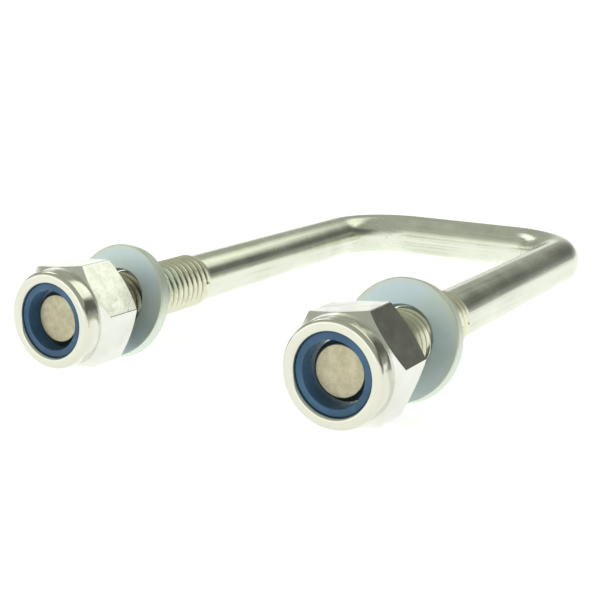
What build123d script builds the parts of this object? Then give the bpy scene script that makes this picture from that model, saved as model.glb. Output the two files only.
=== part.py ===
from build123d import *
import math
import os

# Square U-bolt with two nylon-ring lock nuts and two plain washers, as used on boat trailers,
# pontoons and deck hardware. All sizes are in millimetres and all angles in degrees.
#
# Frame: the two legs run along Y, the bolt ends are at Y = 0 and the crossbar is at +Y. X is
# across the legs, from the left leg to the right one, and Z is up. The origin is midway between
# the centres of the two bolt ends.
#
# Every sub-part of one leg is first drawn about its own Z axis, which is the leg's axis: Z = 0 is
# the bolt end and +Z runs up the leg. on_leg() then lays it down in the part's frame.

# ---- driving dimensions -------------------------------------------------------------------
THREAD_DIA = 10.0  # M10 coarse, right-handed
PITCH = 1.5
SHANK_DIA = 9.03  # a rolled thread leaves the bar at the thread's pitch diameter
INSIDE_WIDTH = 44.0  # clear width between the two plain shanks
INSIDE_LENGTH = 105.0  # bolt end to the inner face of the crossbar
THREAD_LENGTH = 37.5  # bolt end to where the bar is plain; a nut can use the first 35
RUN_OUT = 1.3  # the cone from the thread's crest down to the plain bar
BEND_INSIDE_RADIUS = 9.5

NUT_FLATS = 17.0
NUT_HEIGHT = 11.5  # collar and hexagon together
HEX_EDGE_DIA = 16.8  # where the hexagon's 30 degree chamfers start, at both ends
HEX_CORNER_ROUNDING = 0.3  # on the six edges between the flats
COLLAR_DIA = 16.4
COLLAR_LENGTH = 3.25  # the round part in front of the hexagon
COLLAR_OVERLAP = 1.0  # how far the collar is drawn on inside the hexagon
COLLAR_ROUNDING = 0.7
LIP_OPENING_DIA = 12.5  # the crimped lip leaves this much of the nylon in sight
LIP_LENGTH = 0.9
LIP_ROUNDING = 0.5
RING_SEAT_DIA = 13.6
COUNTERSINK_DIA = 10.8

RING_BULGE = 0.3  # how far the nylon stands up inside the lip opening
RING_BULGE_DIA = 12.4
RING_ROUNDING = 0.2
RING_HOLE_DIA = 10.06  # as the thread leaves it, with 0.03 to spare over the crests
RING_MOUTH_ROUNDING = 0.15
RING_CLEARANCE = 0.02  # between the ring and its seat, because the nut turns about the ring

WASHER_DIA = 20.0
WASHER_HOLE_DIA = 11.2
WASHER_THICKNESS = 2.0
WASHER_ROUNDING = 0.25  # the side that the punch entered

THREAD_CLEARANCE = 0.08  # between every face of a nut's thread and the bolt's

# Where the loose pieces are on each leg while the bolt lies at rest.
LEFT_END_RECESS = 2.2  # the bolt end lies this far inside the nut's front face
RIGHT_END_RECESS = 2.6
WASHER_LEAN = 16.5  # a loose washer leans back until its hole nearly binds on the thread
LEFT_WASHER_Y = 15.7
RIGHT_WASHER_Y = 20.1
LEFT_NUT_TURN = 6.8  # how far the hexagon is turned from flat side down
RIGHT_NUT_TURN = 8.0

# ---- worked-out dimensions ----------------------------------------------------------------
SHANK_RADIUS = SHANK_DIA / 2
LEG_X = (INSIDE_WIDTH + SHANK_DIA) / 2
BEND_RADIUS = BEND_INSIDE_RADIUS + SHANK_RADIUS
CROSSBAR_Y = INSIDE_LENGTH + SHANK_RADIUS

# ISO metric thread: 60 degree flanks, depth 17/24 of the sharp triangle, flats P/8 and P/6.
FLANK_ANGLE = 30.0
FLANK_SLOPE = math.tan(math.radians(FLANK_ANGLE))
SHARP_HEIGHT = PITCH / (2 * FLANK_SLOPE)
THREAD_DEPTH = SHARP_HEIGHT * 17 / 24
CREST_RADIUS = THREAD_DIA / 2
ROOT_RADIUS = CREST_RADIUS - THREAD_DEPTH
CREST_FLAT = PITCH / 8
ROOT_FLAT = PITCH / 6
END_CHAMFER = 1.1
END_ROUNDING = 0.2  # between the bolt end and its chamfer
GROOVE_TURNS = math.floor((THREAD_LENGTH - RUN_OUT) / PITCH) + 1
NUT_BORE_RADIUS = ROOT_RADIUS + THREAD_CLEARANCE

CUT_MARGIN = 0.1  # how far a cutter runs on past the face that it cuts through

FROM_BELOW = (Align.CENTER, Align.CENTER, Align.MIN)


def on_leg(shape, side):
    """Lays a shape drawn about Z along the left (-1) or right (+1) leg, its +Z to +Y."""
    return Pos(side * LEG_X, 0, 0) * Rot(-90, 0, 0) * shape


def coil(start, turns, inner_radius, inner_width, outer_radius, outer_width):
    """A right-handed coil of trapezoid section about Z, drawn turn by turn from height start."""
    half_inner = inner_width / 2
    half_outer = outer_width / 2
    outline = Polyline(
        (inner_radius, -half_inner),
        (outer_radius, -half_outer),
        (outer_radius, half_outer),
        (inner_radius, half_inner),
        close=True,
    )
    section = Pos(0, 0, start) * (Plane.XZ * make_face(outline))
    one_turn = Helix(pitch=PITCH, height=PITCH, radius=inner_radius)
    turn_starts = [start + turn * PITCH for turn in range(turns)]
    spine = Wire([Pos(0, 0, height) * one_turn for height in turn_starts])
    return sweep(section, path=spine, is_frenet=True)


def thread_groove():
    """What the thread-rolling dies press out of one leg: the space between the ridges."""
    outer_radius = CREST_RADIUS + CUT_MARGIN
    outer_width = ROOT_FLAT + 2 * (outer_radius - ROOT_RADIUS) * FLANK_SLOPE
    return coil(-PITCH, GROOVE_TURNS, ROOT_RADIUS, ROOT_FLAT, outer_radius, outer_width)


def thread_tap(end_recess):
    """The bolt's own ridge, grown by the clearance: it cuts the thread in a nut."""
    inner_radius = ROOT_RADIUS - CUT_MARGIN
    outer_radius = CREST_RADIUS + THREAD_CLEARANCE
    flank_growth = 2 * THREAD_CLEARANCE / math.cos(math.radians(FLANK_ANGLE))
    inner_width = CREST_FLAT + flank_growth + 2 * (CREST_RADIUS - inner_radius) * FLANK_SLOPE
    outer_width = CREST_FLAT + flank_growth - 2 * THREAD_CLEARANCE * FLANK_SLOPE
    turns = math.ceil((NUT_HEIGHT - end_recess) / PITCH) + 2
    return coil(-PITCH / 2, turns, inner_radius, inner_width, outer_radius, outer_width)


def threaded_leg():
    """The threaded end of one leg, about Z, from the chamfered bolt end to the plain bar."""
    crest_end = THREAD_LENGTH - RUN_OUT
    outline = Polyline(
        (0, 0),
        (CREST_RADIUS - END_CHAMFER, 0),
        (CREST_RADIUS, END_CHAMFER),
        (CREST_RADIUS, crest_end),
        (SHANK_RADIUS, THREAD_LENGTH),
        (0, THREAD_LENGTH),
        close=True,
    )
    blank = revolve(Plane.XZ * make_face(outline), Axis.Z)
    end_edge = blank.edges().filter_by(GeomType.CIRCLE).group_by(Axis.Z)[0]
    return fillet(end_edge, END_ROUNDING) - thread_groove()


def u_bolt():
    """The bar bent to a square U, with a thread rolled on the end of each leg."""
    centre_line = FilletPolyline(
        (-LEG_X, THREAD_LENGTH),
        (-LEG_X, CROSSBAR_Y),
        (LEG_X, CROSSBAR_Y),
        (LEG_X, THREAD_LENGTH),
        radius=BEND_RADIUS,
    )
    section = Plane(origin=(-LEG_X, THREAD_LENGTH, 0), z_dir=(0, 1, 0)) * Circle(SHANK_RADIUS)
    bar = sweep(section, path=centre_line)
    leg = threaded_leg()
    return bar + on_leg(leg, -1) + on_leg(leg, 1)


def hexagon(turn):
    """The nut's hexagon, one flat side down before it is turned, chamfered at both ends."""
    corner_radius = NUT_FLATS / math.sqrt(3)
    edge_radius = HEX_EDGE_DIA / 2
    chamfer_height = (corner_radius - edge_radius) * FLANK_SLOPE
    outline = Polyline(
        (0, COLLAR_LENGTH),
        (edge_radius, COLLAR_LENGTH),
        (corner_radius, COLLAR_LENGTH + chamfer_height),
        (corner_radius, NUT_HEIGHT - chamfer_height),
        (edge_radius, NUT_HEIGHT),
        (0, NUT_HEIGHT),
        close=True,
    )
    turned_blank = revolve(Plane.XZ * make_face(outline), Axis.Z)
    flats = extrude(RegularPolygon(NUT_FLATS / 2, 6, major_radius=False), NUT_HEIGHT)
    flats = fillet(flats.edges().filter_by(Axis.Z), HEX_CORNER_ROUNDING)
    return turned_blank & (Rot(0, 0, -turn) * flats)


def lock_nut(turn, end_recess):
    """The steel of a lock nut: hexagon, and a round collar crimped over the ring's seat."""
    collar = Cylinder(COLLAR_DIA / 2, COLLAR_LENGTH + COLLAR_OVERLAP, align=FROM_BELOW)
    collar = fillet(collar.edges().sort_by(Axis.Z)[0], COLLAR_ROUNDING)
    opening = Cylinder(LIP_OPENING_DIA / 2, LIP_LENGTH, align=FROM_BELOW)
    collar -= opening
    lip_edge = collar.edges().filter_by(GeomType.CIRCLE).group_by(Axis.Z)[0].sort_by(SortBy.LENGTH)[0]
    collar = fillet(lip_edge, LIP_ROUNDING)
    nut = collar + hexagon(turn)
    seat_length = COLLAR_LENGTH - LIP_LENGTH
    nut -= Pos(0, 0, LIP_LENGTH) * Cylinder(RING_SEAT_DIA / 2, seat_length, align=FROM_BELOW)
    nut -= Cylinder(NUT_BORE_RADIUS, NUT_HEIGHT, align=FROM_BELOW)
    countersink_depth = COUNTERSINK_DIA / 2 - NUT_BORE_RADIUS
    countersink = Cone(NUT_BORE_RADIUS, COUNTERSINK_DIA / 2, countersink_depth, align=FROM_BELOW)
    nut -= Pos(0, 0, NUT_HEIGHT - countersink_depth) * countersink
    return Pos(0, 0, -end_recess) * nut - thread_tap(end_recess)


def nylon_ring(end_recess):
    """The nut's locking ring, held in the collar, standing up a little inside the lip."""
    front = LIP_LENGTH - RING_BULGE
    bulge_length = RING_BULGE + RING_CLEARANCE
    bulge = Cylinder(RING_BULGE_DIA / 2, bulge_length, align=FROM_BELOW)
    bulge = fillet(bulge.edges().sort_by(Axis.Z)[0], RING_ROUNDING)
    body_radius = RING_SEAT_DIA / 2 - RING_CLEARANCE
    body_length = COLLAR_LENGTH - LIP_LENGTH - 2 * RING_CLEARANCE
    body = Cylinder(body_radius, body_length, align=FROM_BELOW)
    ring = Pos(0, 0, front) * bulge + Pos(0, 0, front + bulge_length) * body
    ring -= Cylinder(RING_HOLE_DIA / 2, NUT_HEIGHT, align=FROM_BELOW)
    mouth_edge = ring.edges().filter_by(GeomType.CIRCLE).group_by(Axis.Z)[0].sort_by(SortBy.LENGTH)[0]
    ring = fillet(mouth_edge, RING_MOUTH_ROUNDING)
    return Pos(0, 0, -end_recess) * ring


def washer(centre_y, side):
    """A flat washer hanging on its leg, its top leaning back towards the crossbar."""
    disc = Cylinder(WASHER_DIA / 2, WASHER_THICKNESS)
    disc -= Cylinder(WASHER_HOLE_DIA / 2, WASHER_THICKNESS)
    disc = fillet(disc.edges().group_by(Axis.Z)[0], WASHER_ROUNDING)
    leaning = Rot(-WASHER_LEAN, 0, 0) * Rot(-90, 0, 0) * disc
    return Pos(side * LEG_X, centre_y, 0) * leaning


def sub_parts():
    """Every node of the part, by name."""
    return {
        "u_bolt": u_bolt(),
        "left_lock_nut": on_leg(lock_nut(LEFT_NUT_TURN, LEFT_END_RECESS), -1),
        "right_lock_nut": on_leg(lock_nut(RIGHT_NUT_TURN, RIGHT_END_RECESS), 1),
        "left_nylon_ring": on_leg(nylon_ring(LEFT_END_RECESS), -1),
        "right_nylon_ring": on_leg(nylon_ring(RIGHT_END_RECESS), 1),
        "left_washer": washer(LEFT_WASHER_Y, -1),
        "right_washer": washer(RIGHT_WASHER_Y, 1),
    }


os.makedirs("parts", exist_ok=True)
for name, shape in sub_parts().items():
    export_step(shape, f"parts/{name}.step")
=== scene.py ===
import bpy
import math
from mathutils import Matrix, Vector


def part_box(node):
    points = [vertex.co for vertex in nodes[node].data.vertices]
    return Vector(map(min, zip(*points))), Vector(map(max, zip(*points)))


# A square U-bolt lies on a pale floor with a lock nut and a loose washer on each threaded leg.
# Lengths are in metres. The legs run along Y, the bolt ends are at Y = 0, X is across, Z is up.

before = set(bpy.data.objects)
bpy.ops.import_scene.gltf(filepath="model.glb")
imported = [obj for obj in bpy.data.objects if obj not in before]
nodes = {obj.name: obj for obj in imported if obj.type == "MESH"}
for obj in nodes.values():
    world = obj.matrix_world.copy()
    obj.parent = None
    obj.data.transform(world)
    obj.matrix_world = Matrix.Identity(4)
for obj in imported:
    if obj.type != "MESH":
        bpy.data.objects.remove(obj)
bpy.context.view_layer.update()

# ---- sizes read from the frame ------------------------------------------------------------
_, bar_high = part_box("u_bolt")
ring_low, ring_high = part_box("right_nylon_ring")
washer_low, washer_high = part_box("right_washer")
LEG_X = (ring_low.x + ring_high.x) / 2
CREST_RADIUS = bar_high.z
BAR_RADIUS = bar_high.x - LEG_X
CROSSBAR_Y = bar_high.y - BAR_RADIUS
WASHER_RADIUS = (washer_high.x - washer_low.x) / 2

# ---- sizes known from the part's source ---------------------------------------------------
THREAD_PITCH = 0.0015
THREAD_DEPTH = THREAD_PITCH * math.sqrt(3) / 2 * 17 / 24  # 17/24 of the full triangle's height
THREAD_LENGTH = 0.0375
BOLT_END_CHAMFER = 0.0011
NUT_SHADE_LENGTH = 0.021  # from the bolt end: painted shade, the thread is painted darker where the nut and washer shade it
CRIMP_START, CRIMP_END = -0.0012, 0.0008  # along the leg: the nut is duller in front of these
BEND_LENGTH = 0.014  # along the leg, from the straight bar to the crossbar's middle line

# ---- camera, floor and light --------------------------------------------------------------
CAMERA_PLACE = Vector((0.09837, -0.13395, 0.04619))
CAMERA_TARGET = Vector((0.01465, 0.00874, 0.0071))
CAMERA_ROLL = math.radians(1.13)
CAMERA_LENS_MM = 67.0
CAMERA_CLIP = 0.005, 20.0
FLOOR_SIZE = 6.0
FLOOR_WHITE = 0.80
FLOOR_ROUGHNESS = 0.6
FLOOR_GLOW = 0.70
PLANE_ROUNDS = 4  # enough for the plane under the bolt to settle
SOFTBOX_PLACE = Vector((-0.60, 0.22, 0.65))
SOFTBOX_TARGET = Vector((0.0, 0.03, 0.0))
SOFTBOX_SIZE = 0.36
SOFTBOX_WATTS = 0.55

# ---- the room that the metal reflects -----------------------------------------------------
# A sector's start, full from, full to and end, in degrees from +X towards +Y.
DARK_SECTOR = -40.0, 0.0, 90.0, 112.0
FRONT_SECTOR = -165.0, -135.0, -105.0, -70.0
WINDOW_SECTOR = 44.0, 54.0, 94.0, 106.0
# A fade's two heights, 0 being the horizon and 1 straight up, and the strengths there.
WALLS_FADE = 0.13, 0.24, 1.15, 0.42
DARK_FADE = 0.43, 0.53, -0.70, 0.0  # the share that it takes off the walls
FRONT_FADE = 0.24, 0.60, 0.44, 0.04
WINDOW_SILL_FADE = 0.47, 0.55, 0.0, 0.9
WINDOW_TOP_FADE = 0.90, 0.76, 0.0, 1.0
ROOM_TINT_FADE = 0.05, 0.25, 0.0, 1.0

# ---- linear colours -----------------------------------------------------------------------
BAR_DULL, BAR_PALE = (0.62, 0.65, 0.55), (0.78, 0.81, 0.72)
BAR_LINES = (0.84, 0.86, 0.77)
BAR_SPECKS = (0.42, 0.42, 0.29)
# The thread's root colour is painted shade in the recesses between the crests.
THREAD_ROOT_SHADE, THREAD_CREST = (0.22, 0.21, 0.15), (0.78, 0.78, 0.62)
THREAD_DIRT = (0.52, 0.47, 0.31)
# Painted shade on the thread in and just behind the nuts and washers.
THREAD_NUT_SHADE = (0.25, 0.235, 0.165)
CUT_DARK, CUT_PALE = (0.40, 0.36, 0.24), (0.62, 0.59, 0.43)
NUT_BRIGHT, NUT_CLOUDS = (0.83, 0.845, 0.80), (0.74, 0.75, 0.69)
NUT_SCRATCHES = (0.62, 0.61, 0.50)
NUT_CRIMP = (0.71, 0.71, 0.61)
WASHER_BLUE, WASHER_PALE = (0.68, 0.82, 0.90), (0.76, 0.89, 0.96)
WASHER_GREEN = (0.74, 0.85, 0.80)
WASHER_RIM = (0.80, 0.80, 0.60)
NYLON_DARK, NYLON_PALE = (0.046, 0.112, 0.205), (0.066, 0.155, 0.275)
ROOM_LOW, ROOM_HIGH = (1.0, 1.0, 0.99), (0.97, 1.0, 0.86)

# ---- sizes of the surface detail ----------------------------------------------------------
LINES_ACROSS, LINES_ALONG = 2600.0, 30.0  # of the drawn bar's lines, in noise cells per metre
NUT_SCRATCH_CELLS = (1500.0, 260.0, 900.0)
WASHER_ROLL_CELLS = (260.0, 900.0, 2400.0)
NYLON_SCATTER = (0.0003, 0.0005, 0.0012)  # how far red, green and blue light spread inside it


class Nodes:
    """A material's or the world's node tree, with short calls for the nodes used here."""

    def __init__(self, tree):
        self.tree = tree
        tree.nodes.clear()

    def add(self, kind, **values):
        node = self.tree.nodes.new(kind)
        for key, value in values.items():
            setattr(node, key, value)
        return node

    def plug(self, value, socket):
        """Sets a socket to a plain value, or links an output to it."""
        if isinstance(value, bpy.types.NodeSocket):
            self.tree.links.new(value, socket)
        elif value is not None:
            socket.default_value = value

    def math(self, operation, a, b=None):
        node = self.add("ShaderNodeMath", operation=operation)
        for value, socket in zip((a, b), node.inputs):
            self.plug(value, socket)
        return node.outputs[0]

    def fade(self, value, start, end, low=0.0, high=1.0):
        """A smooth step from low to high as value goes from start to end, which may be less."""
        node = self.add("ShaderNodeMapRange", interpolation_type="SMOOTHSTEP")
        for item, socket in zip((value, start, end, low, high), node.inputs):
            self.plug(item, socket)
        return node.outputs[0]

    def mix(self, factor, a, b):
        """A blend of two linear colours: a where factor is 0, b where it is 1."""
        node = self.add("ShaderNodeMix", data_type="RGBA")
        for value, socket in ((factor, 0), (colour(a), 6), (colour(b), 7)):
            self.plug(value, node.inputs[socket])
        return node.outputs[2]

    def blend(self, factor, a, b):
        """The same for two plain numbers."""
        node = self.add("ShaderNodeMix", data_type="FLOAT")
        for value, socket in ((factor, 0), (a, 2), (b, 3)):
            self.plug(value, node.inputs[socket])
        return node.outputs[0]

    def sum(self, *values):
        total = values[0]
        for value in values[1:]:
            total = self.math("ADD", total, value)
        return total

    def times(self, a, b):
        return self.math("MULTIPLY", a, b)

    def position(self):
        """The place on the mesh, which stays with the piece as its joint moves."""
        return self.add("ShaderNodeTexCoord").outputs["Object"]

    def scaled(self, vector, scale):
        """The vector times three numbers, to stretch a noise."""
        node = self.add("ShaderNodeMapping")
        self.plug(vector, node.inputs["Vector"])
        self.plug(scale, node.inputs["Scale"])
        return node.outputs[0]

    def noise(self, vector, scale, detail, rough):
        """A cloudy value around 0.5, with scale in cells per metre."""
        node = self.add("ShaderNodeTexNoise")
        self.plug(vector, node.inputs["Vector"])
        self.plug(scale, node.inputs["Scale"])
        self.plug(detail, node.inputs["Detail"])
        self.plug(rough, node.inputs["Roughness"])
        return node.outputs["Fac"]

    def split(self, vector):
        node = self.add("ShaderNodeSeparateXYZ")
        self.plug(vector, node.inputs[0])
        return node.outputs

    def bump(self, height, distance, strength):
        """A normal from a height, which distance turns into metres."""
        node = self.add("ShaderNodeBump")
        self.plug(strength, node.inputs["Strength"])
        self.plug(distance, node.inputs["Distance"])
        self.plug(height, node.inputs["Height"])
        return node.outputs[0]

    def surface(self, **values):
        """The shader and the output. Each name is a socket's, with _ for a space."""
        shader = self.add("ShaderNodeBsdfPrincipled")
        output = self.add("ShaderNodeOutputMaterial")
        self.tree.links.new(shader.outputs[0], output.inputs["Surface"])
        for key, value in values.items():
            self.plug(value, shader.inputs[key.replace("_", " ")])


def colour(value):
    """A linear colour from three numbers. An output is passed on as it is."""
    if isinstance(value, (tuple, list)) and len(value) == 3:
        return (*value, 1.0)
    return value


def new_material(name):
    material = bpy.data.materials.new(name)
    material.use_nodes = True
    return material, Nodes(material.node_tree)


def leg_radius(n, place):
    """Distance from the nearer leg's axis, on the part of the bolt where the legs are straight."""
    x, _, z = n.split(place)
    across = n.math("SUBTRACT", n.math("ABSOLUTE", x), LEG_X)
    return n.math("SQRT", n.sum(n.times(across, across), n.times(z, z)))


def plated_bar():
    """Dull zinc on drawn bar: lengthwise die lines, cloudy passivation, dirt specks in the thread,
    painted shade in the thread roots and on the thread near the nuts.
    """
    material, n = new_material("plated_bar")
    place = n.position()
    y = n.split(place)[1]
    leg_cells = (LINES_ACROSS, LINES_ALONG, LINES_ACROSS)
    crossbar_cells = (LINES_ALONG, LINES_ACROSS, LINES_ACROSS)
    along_leg = n.noise(n.scaled(place, leg_cells), scale=1.0, detail=4.0, rough=0.6)
    along_crossbar = n.noise(n.scaled(place, crossbar_cells), scale=1.0, detail=4.0, rough=0.6)
    on_crossbar = n.fade(y, CROSSBAR_Y - BEND_LENGTH, CROSSBAR_Y - BEND_LENGTH / 4)
    lines = n.blend(on_crossbar, along_leg, along_crossbar)
    clouds = n.noise(place, scale=95.0, detail=5.0, rough=0.62)
    specks = n.noise(place, scale=900.0, detail=3.0, rough=0.7)
    plated = n.mix(n.fade(clouds, 0.34, 0.68), BAR_DULL, BAR_PALE)
    plated = n.mix(n.fade(lines, 0.35, 0.75), plated, BAR_LINES)
    plated = n.mix(n.fade(specks, 0.60, 0.78, high=0.35), plated, BAR_SPECKS)

    # Painted shade: the thread is painted darker towards its roots and lighter on its crests.
    root, crest = CREST_RADIUS - THREAD_DEPTH, CREST_RADIUS - THREAD_DEPTH / 4
    thread = n.mix(n.fade(leg_radius(n, place), root, crest), THREAD_ROOT_SHADE, THREAD_CREST)
    thread = n.mix(n.fade(specks, 0.5, 0.75, high=0.5), thread, THREAD_DIRT)
    # Painted shade: the thread from the bolt end to the length set above is painted darker.
    nut_shade = n.fade(y, NUT_SHADE_LENGTH, NUT_SHADE_LENGTH * 0.7, high=0.62)
    thread = n.mix(nut_shade, thread, THREAD_NUT_SHADE)
    in_thread = n.fade(y, THREAD_LENGTH, THREAD_LENGTH - THREAD_PITCH)
    base = n.mix(in_thread, plated, thread)

    at_end = n.fade(y, BOLT_END_CHAMFER * 0.15, BOLT_END_CHAMFER * 0.05)
    grain = n.noise(place, scale=650.0, detail=7.0, rough=0.75)
    base = n.mix(at_end, base, n.mix(n.fade(grain, 0.22, 0.78), CUT_DARK, CUT_PALE))

    rough = n.sum(n.fade(clouds, 0.3, 0.7, low=0.21, high=0.28), n.times(at_end, 0.22))
    sawn = n.times(n.times(at_end, grain), 3.0)
    height = n.sum(n.times(lines, 0.6), n.times(specks, 0.4), sawn)
    normal = n.bump(height, distance=0.00003, strength=0.32)
    n.surface(Base_Color=base, Metallic=1.0, Roughness=rough, Normal=normal)
    return material


def bright_nut():
    """Bright zinc on cold-formed nuts: smooth, with small dents and faint yellow clouds."""
    material, n = new_material("bright_nut")
    place = n.position()
    clouds = n.noise(place, scale=160.0, detail=4.0, rough=0.6)
    dents = n.noise(place, scale=420.0, detail=3.0, rough=0.55)
    scratches = n.noise(n.scaled(place, NUT_SCRATCH_CELLS), scale=1.0, detail=5.0, rough=0.65)
    base = n.mix(n.fade(clouds, 0.35, 0.70), NUT_BRIGHT, NUT_CLOUDS)
    base = n.mix(n.fade(scratches, 0.62, 0.78, high=0.5), base, NUT_SCRATCHES)
    crimp = n.fade(n.split(place)[1], CRIMP_END, CRIMP_START, high=0.85)
    base = n.mix(crimp, base, NUT_CRIMP)
    rough = n.fade(dents, 0.3, 0.7, low=0.12, high=0.22)
    normal = n.bump(n.sum(dents, n.times(scratches, 0.25)), distance=0.00008, strength=0.45)
    n.surface(Base_Color=base, Metallic=1.0, Roughness=rough, Normal=normal)
    return material


def pale_washer():
    """Blue-passivated zinc on a punched washer: cloudy, green in places, yellow near the rim."""
    material, n = new_material("pale_washer")
    place = n.position()
    clouds = n.noise(place, scale=110.0, detail=4.0, rough=0.6)
    rolled = n.noise(n.scaled(place, WASHER_ROLL_CELLS), scale=1.0, detail=4.0, rough=0.6)
    tints = n.noise(place, scale=60.0, detail=2.0, rough=0.5)
    base = n.mix(n.fade(clouds, 0.35, 0.68), WASHER_BLUE, WASHER_PALE)
    base = n.mix(n.fade(tints, 0.45, 0.65, high=0.6), base, WASHER_GREEN)
    rim = n.fade(leg_radius(n, place), WASHER_RADIUS * 0.86, WASHER_RADIUS * 0.98, high=0.5)
    base = n.mix(rim, base, WASHER_RIM)
    rough = n.fade(clouds, 0.3, 0.7, low=0.46, high=0.58)
    normal = n.bump(n.sum(rolled, n.times(clouds, 0.5)), distance=0.00004, strength=0.35)
    n.surface(Base_Color=base, Metallic=0.9, Roughness=rough, Normal=normal)
    return material


def blue_nylon():
    """Moulded nylon, slightly translucent, with a fine scuffed grain."""
    material, n = new_material("blue_nylon")
    place = n.position()
    grain = n.noise(place, scale=1800.0, detail=4.0, rough=0.6)
    clouds = n.noise(place, scale=260.0, detail=3.0, rough=0.5)
    base = n.mix(n.fade(clouds, 0.35, 0.7), NYLON_DARK, NYLON_PALE)
    rough = n.fade(grain, 0.3, 0.7, low=0.46, high=0.60)
    normal = n.bump(grain, distance=0.00003, strength=0.4)
    n.surface(
        Base_Color=base, Roughness=rough, Normal=normal, Specular_IOR_Level=0.3,
        Subsurface_Weight=0.12, Subsurface_Radius=NYLON_SCATTER, Subsurface_Scale=1.0,
    )
    return material


def pale_floor():
    """White acrylic lit from below, so that shadows on it stay faint."""
    material, n = new_material("pale_floor")
    n.surface(
        Base_Color=(FLOOR_WHITE, FLOOR_WHITE, FLOOR_WHITE, 1.0), Roughness=FLOOR_ROUGHNESS,
        Emission_Color=(1.0, 1.0, 1.0, 1.0), Emission_Strength=FLOOR_GLOW,
    )
    return material


def give(material, *names):
    for name in names:
        mesh = nodes[name].data
        mesh.materials.clear()
        mesh.materials.append(material)


def lowest_point(name, down, from_y=-1.0):
    """The vertex of a CAD node that is farthest along down, among those beyond from_y."""
    beyond = [v.co for v in nodes[name].data.vertices if v.co.y > from_y]
    return max(beyond, key=lambda point: point.dot(down)).copy()


def resting_plane():
    """A point on, and the normal of, the plane that both washers and the crossbar rest on."""
    normal = Vector((0.0, 0.0, 1.0))
    for _ in range(PLANE_ROUNDS):
        left = lowest_point("left_washer", -normal)
        right = lowest_point("right_washer", -normal)
        back = lowest_point("u_bolt", -normal, CROSSBAR_Y - BAR_RADIUS)
        normal = (right - left).cross(back - left).normalized()
    return left, normal


def add_floor():
    place, normal = resting_plane()
    mesh = bpy.data.meshes.new("floor")
    half = FLOOR_SIZE / 2
    corners = [(-half, -half, 0.0), (half, -half, 0.0), (half, half, 0.0), (-half, half, 0.0)]
    mesh.from_pydata(corners, [], [(0, 1, 2, 3)])
    floor = bpy.data.objects.new("floor", mesh)
    floor.rotation_mode = "QUATERNION"
    floor.rotation_quaternion = normal.to_track_quat("Z", "Y")
    floor.location = place
    mesh.materials.append(pale_floor())
    bpy.context.scene.collection.objects.link(floor)


def add_softbox():
    light = bpy.data.lights.new("softbox", "AREA")
    light.shape = "SQUARE"
    light.size = SOFTBOX_SIZE
    light.energy = SOFTBOX_WATTS
    lamp = bpy.data.objects.new("softbox", light)
    lamp.location = SOFTBOX_PLACE
    lamp.rotation_mode = "QUATERNION"
    lamp.rotation_quaternion = (SOFTBOX_TARGET - SOFTBOX_PLACE).to_track_quat("-Z", "Y")
    bpy.context.scene.collection.objects.link(lamp)


def add_world():
    """A room to reflect: white low down, pale in front, dark on the right, a window above that."""
    world = bpy.data.worlds.new("studio")
    world.use_nodes = True
    bpy.context.scene.world = world
    n = Nodes(world.node_tree)
    direction = n.add("ShaderNodeTexCoord").outputs["Generated"]
    x, y, z = n.split(direction)
    azimuth = n.math("ARCTAN2", y, x)

    def sector(start, full_from, full_to, end):
        """1 between two azimuths in degrees, from +X towards +Y, fading out on each side."""
        rise = n.fade(azimuth, math.radians(start), math.radians(full_from))
        return n.times(rise, n.fade(azimuth, math.radians(end), math.radians(full_to)))

    walls = n.fade(z, *WALLS_FADE)
    dark_side = n.times(sector(*DARK_SECTOR), n.fade(z, *DARK_FADE))
    front = n.times(sector(*FRONT_SECTOR), n.fade(z, *FRONT_FADE))
    window_height = n.times(n.fade(z, *WINDOW_SILL_FADE), n.fade(z, *WINDOW_TOP_FADE))
    window = n.times(sector(*WINDOW_SECTOR), window_height)
    tint = n.mix(n.fade(z, *ROOM_TINT_FADE), ROOM_LOW, ROOM_HIGH)
    strength = n.sum(n.times(walls, n.sum(dark_side, 1.0)), front, window)
    background = n.add("ShaderNodeBackground")
    n.plug(tint, background.inputs["Color"])
    n.plug(strength, background.inputs["Strength"])
    output = n.add("ShaderNodeOutputWorld")
    n.plug(background.outputs[0], output.inputs["Surface"])


def add_camera():
    data = bpy.data.cameras.new("camera")
    data.lens = CAMERA_LENS_MM
    data.clip_start, data.clip_end = CAMERA_CLIP
    camera = bpy.data.objects.new("camera", data)
    aim = (CAMERA_TARGET - CAMERA_PLACE).to_track_quat("-Z", "Y").to_matrix().to_4x4()
    roll = Matrix.Rotation(CAMERA_ROLL, 4, "Z")
    camera.matrix_world = Matrix.Translation(CAMERA_PLACE) @ aim @ roll
    bpy.context.scene.collection.objects.link(camera)
    bpy.context.scene.camera = camera


give(plated_bar(), "u_bolt")
give(bright_nut(), "left_lock_nut", "right_lock_nut")
give(pale_washer(), "left_washer", "right_washer")
give(blue_nylon(), "left_nylon_ring", "right_nylon_ring")

add_floor()
add_world()
add_softbox()
add_camera()
bpy.context.scene.view_settings.view_transform = "Standard"
